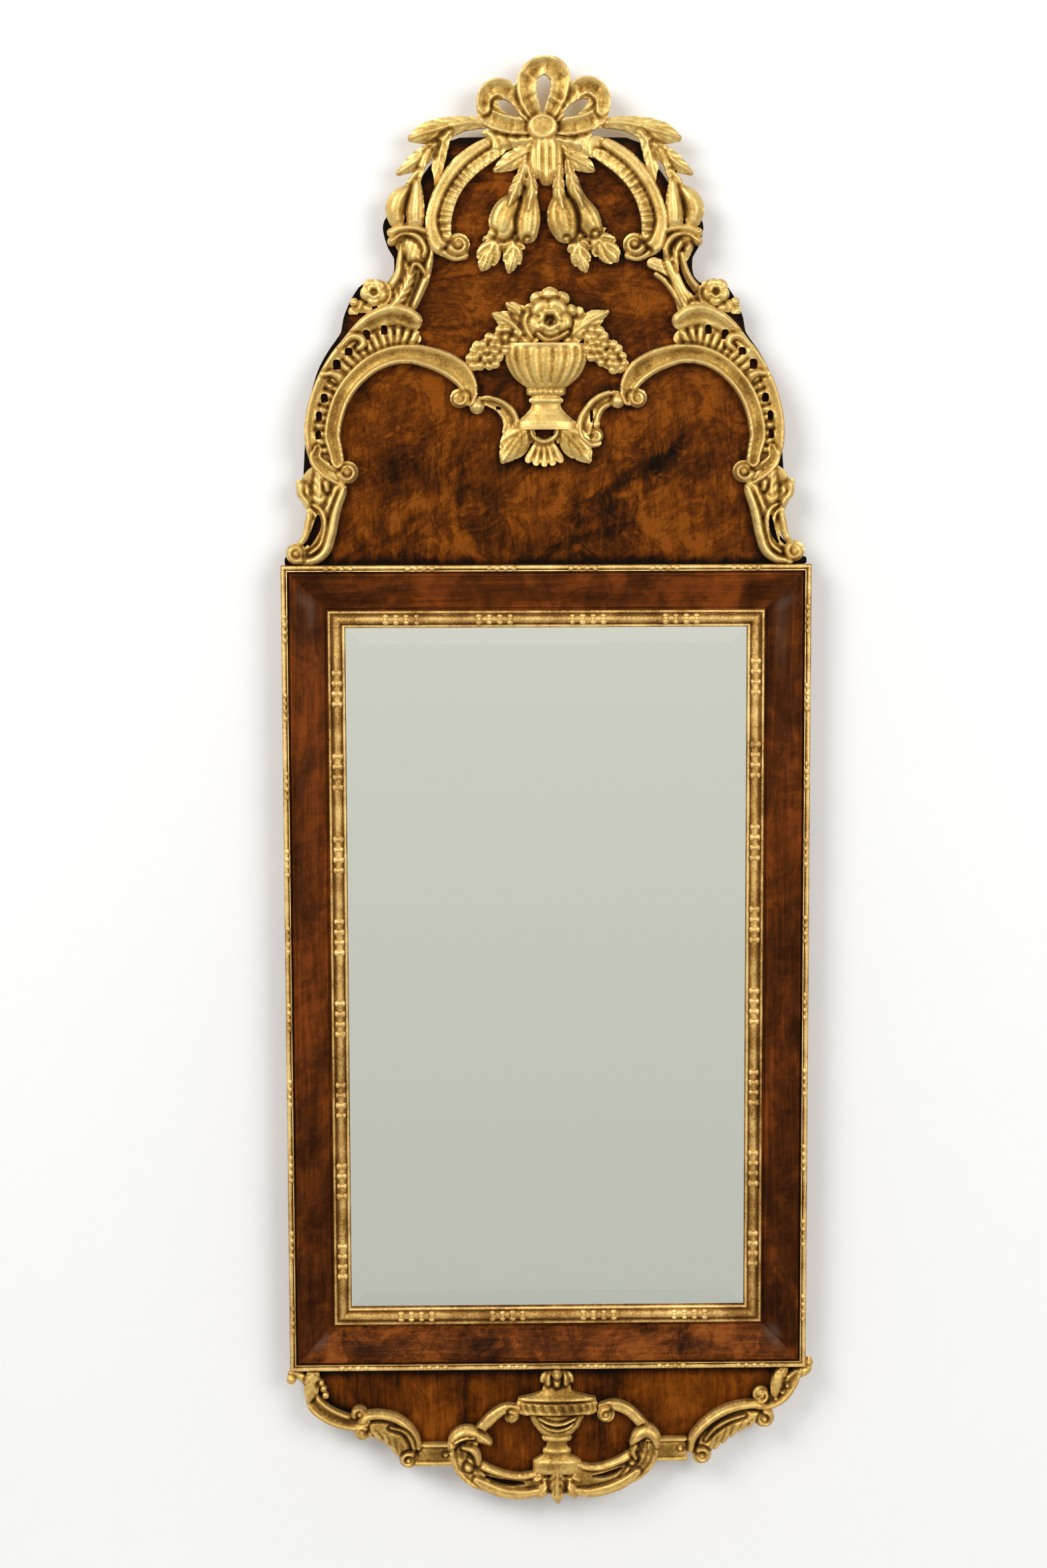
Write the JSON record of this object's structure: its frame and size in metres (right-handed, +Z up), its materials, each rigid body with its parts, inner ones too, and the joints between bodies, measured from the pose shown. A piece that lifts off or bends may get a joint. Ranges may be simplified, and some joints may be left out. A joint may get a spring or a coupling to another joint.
{
  "type": "wall mirror",
  "caption": "Tall wall mirror: veneered frame with gilt beads round a bevelled glass, and shaped crest and apron boards with carved and gilt scrolls, urns, fruit and a bow.",
  "frame": {"origin": "on the wall plane, in the middle of the width, at the height where the wall hook carries the top of the hanging ring", "axes": "+X to the right of someone who looks at the mirror, +Y back into the wall, +Z up"},
  "size_m": [0.5527, 0.0387, 1.4937],
  "materials": {
    "pine": "old planed pine, unfinished and darkened by age",
    "veneer": "figured veneer, French polished to a soft gloss",
    "gilding": "carved wood, water gilt over red bole, burnished and worn",
    "mirror": "silvered plate with a polished bevel",
    "iron": "dark wrought iron"
  },
  "bodies": {
    "mirror": {"acanthus_left": "gilding", "acanthus_right": "gilding", "apron_batten_left": "pine", "apron_batten_right": "pine", "apron_board": "pine", "apron_chain_left": "gilding", "apron_chain_right": "gilding", "apron_corner_left": "gilding", "apron_corner_right": "gilding", "apron_drop": "gilding", "apron_oval_left": "gilding", "apron_oval_right": "gilding", "apron_urn": "gilding", "apron_veneer": "veneer", "arch_scroll_left": "gilding", "arch_scroll_right": "gilding", "backboard_left": "pine", "backboard_nails": "iron", "backboard_right": "pine", "batten_screws": "iron", "bracket_scroll_left": "gilding", "bracket_scroll_right": "gilding", "centre_leaf": "gilding", "crest_batten_left": "pine", "crest_batten_right": "pine", "crest_board": "pine", "crest_urn": "gilding", "crest_veneer": "veneer", "foot_scroll_left": "gilding", "foot_scroll_right": "gilding", "fruit_drop_left": "gilding", "fruit_drop_right": "gilding", "fruit_spray_left": "gilding", "fruit_spray_right": "gilding", "glass_wedges": "pine", "hanger_staple": "iron", "mirror_glass": "mirror", "moulding_bottom": "veneer", "moulding_left": "veneer", "moulding_right": "veneer", "moulding_top": "veneer", "outer_bead_bottom": "gilding", "outer_bead_left": "gilding", "outer_bead_right": "gilding", "outer_bead_top": "gilding", "palmette": "gilding", "rail_bottom": "pine", "rail_top": "pine", "ribbon_bow": "gilding", "sight_edge_bottom": "gilding", "sight_edge_left": "gilding", "sight_edge_right": "gilding", "sight_edge_top": "gilding", "stile_left": "pine", "stile_right": "pine", "upper_scroll_left": "gilding", "upper_scroll_right": "gilding", "urn_flowers": "gilding"},
    "ring": {"hanger_ring": "iron"}
  },
  "joints": [
    {"name": "ring_swing", "type": "hinge", "parent": "mirror", "child": "ring", "pos_m": [0, -0.0066, -0.03375], "axis": [-1, 0, 0], "range_deg": [0, 180]}
  ]
}
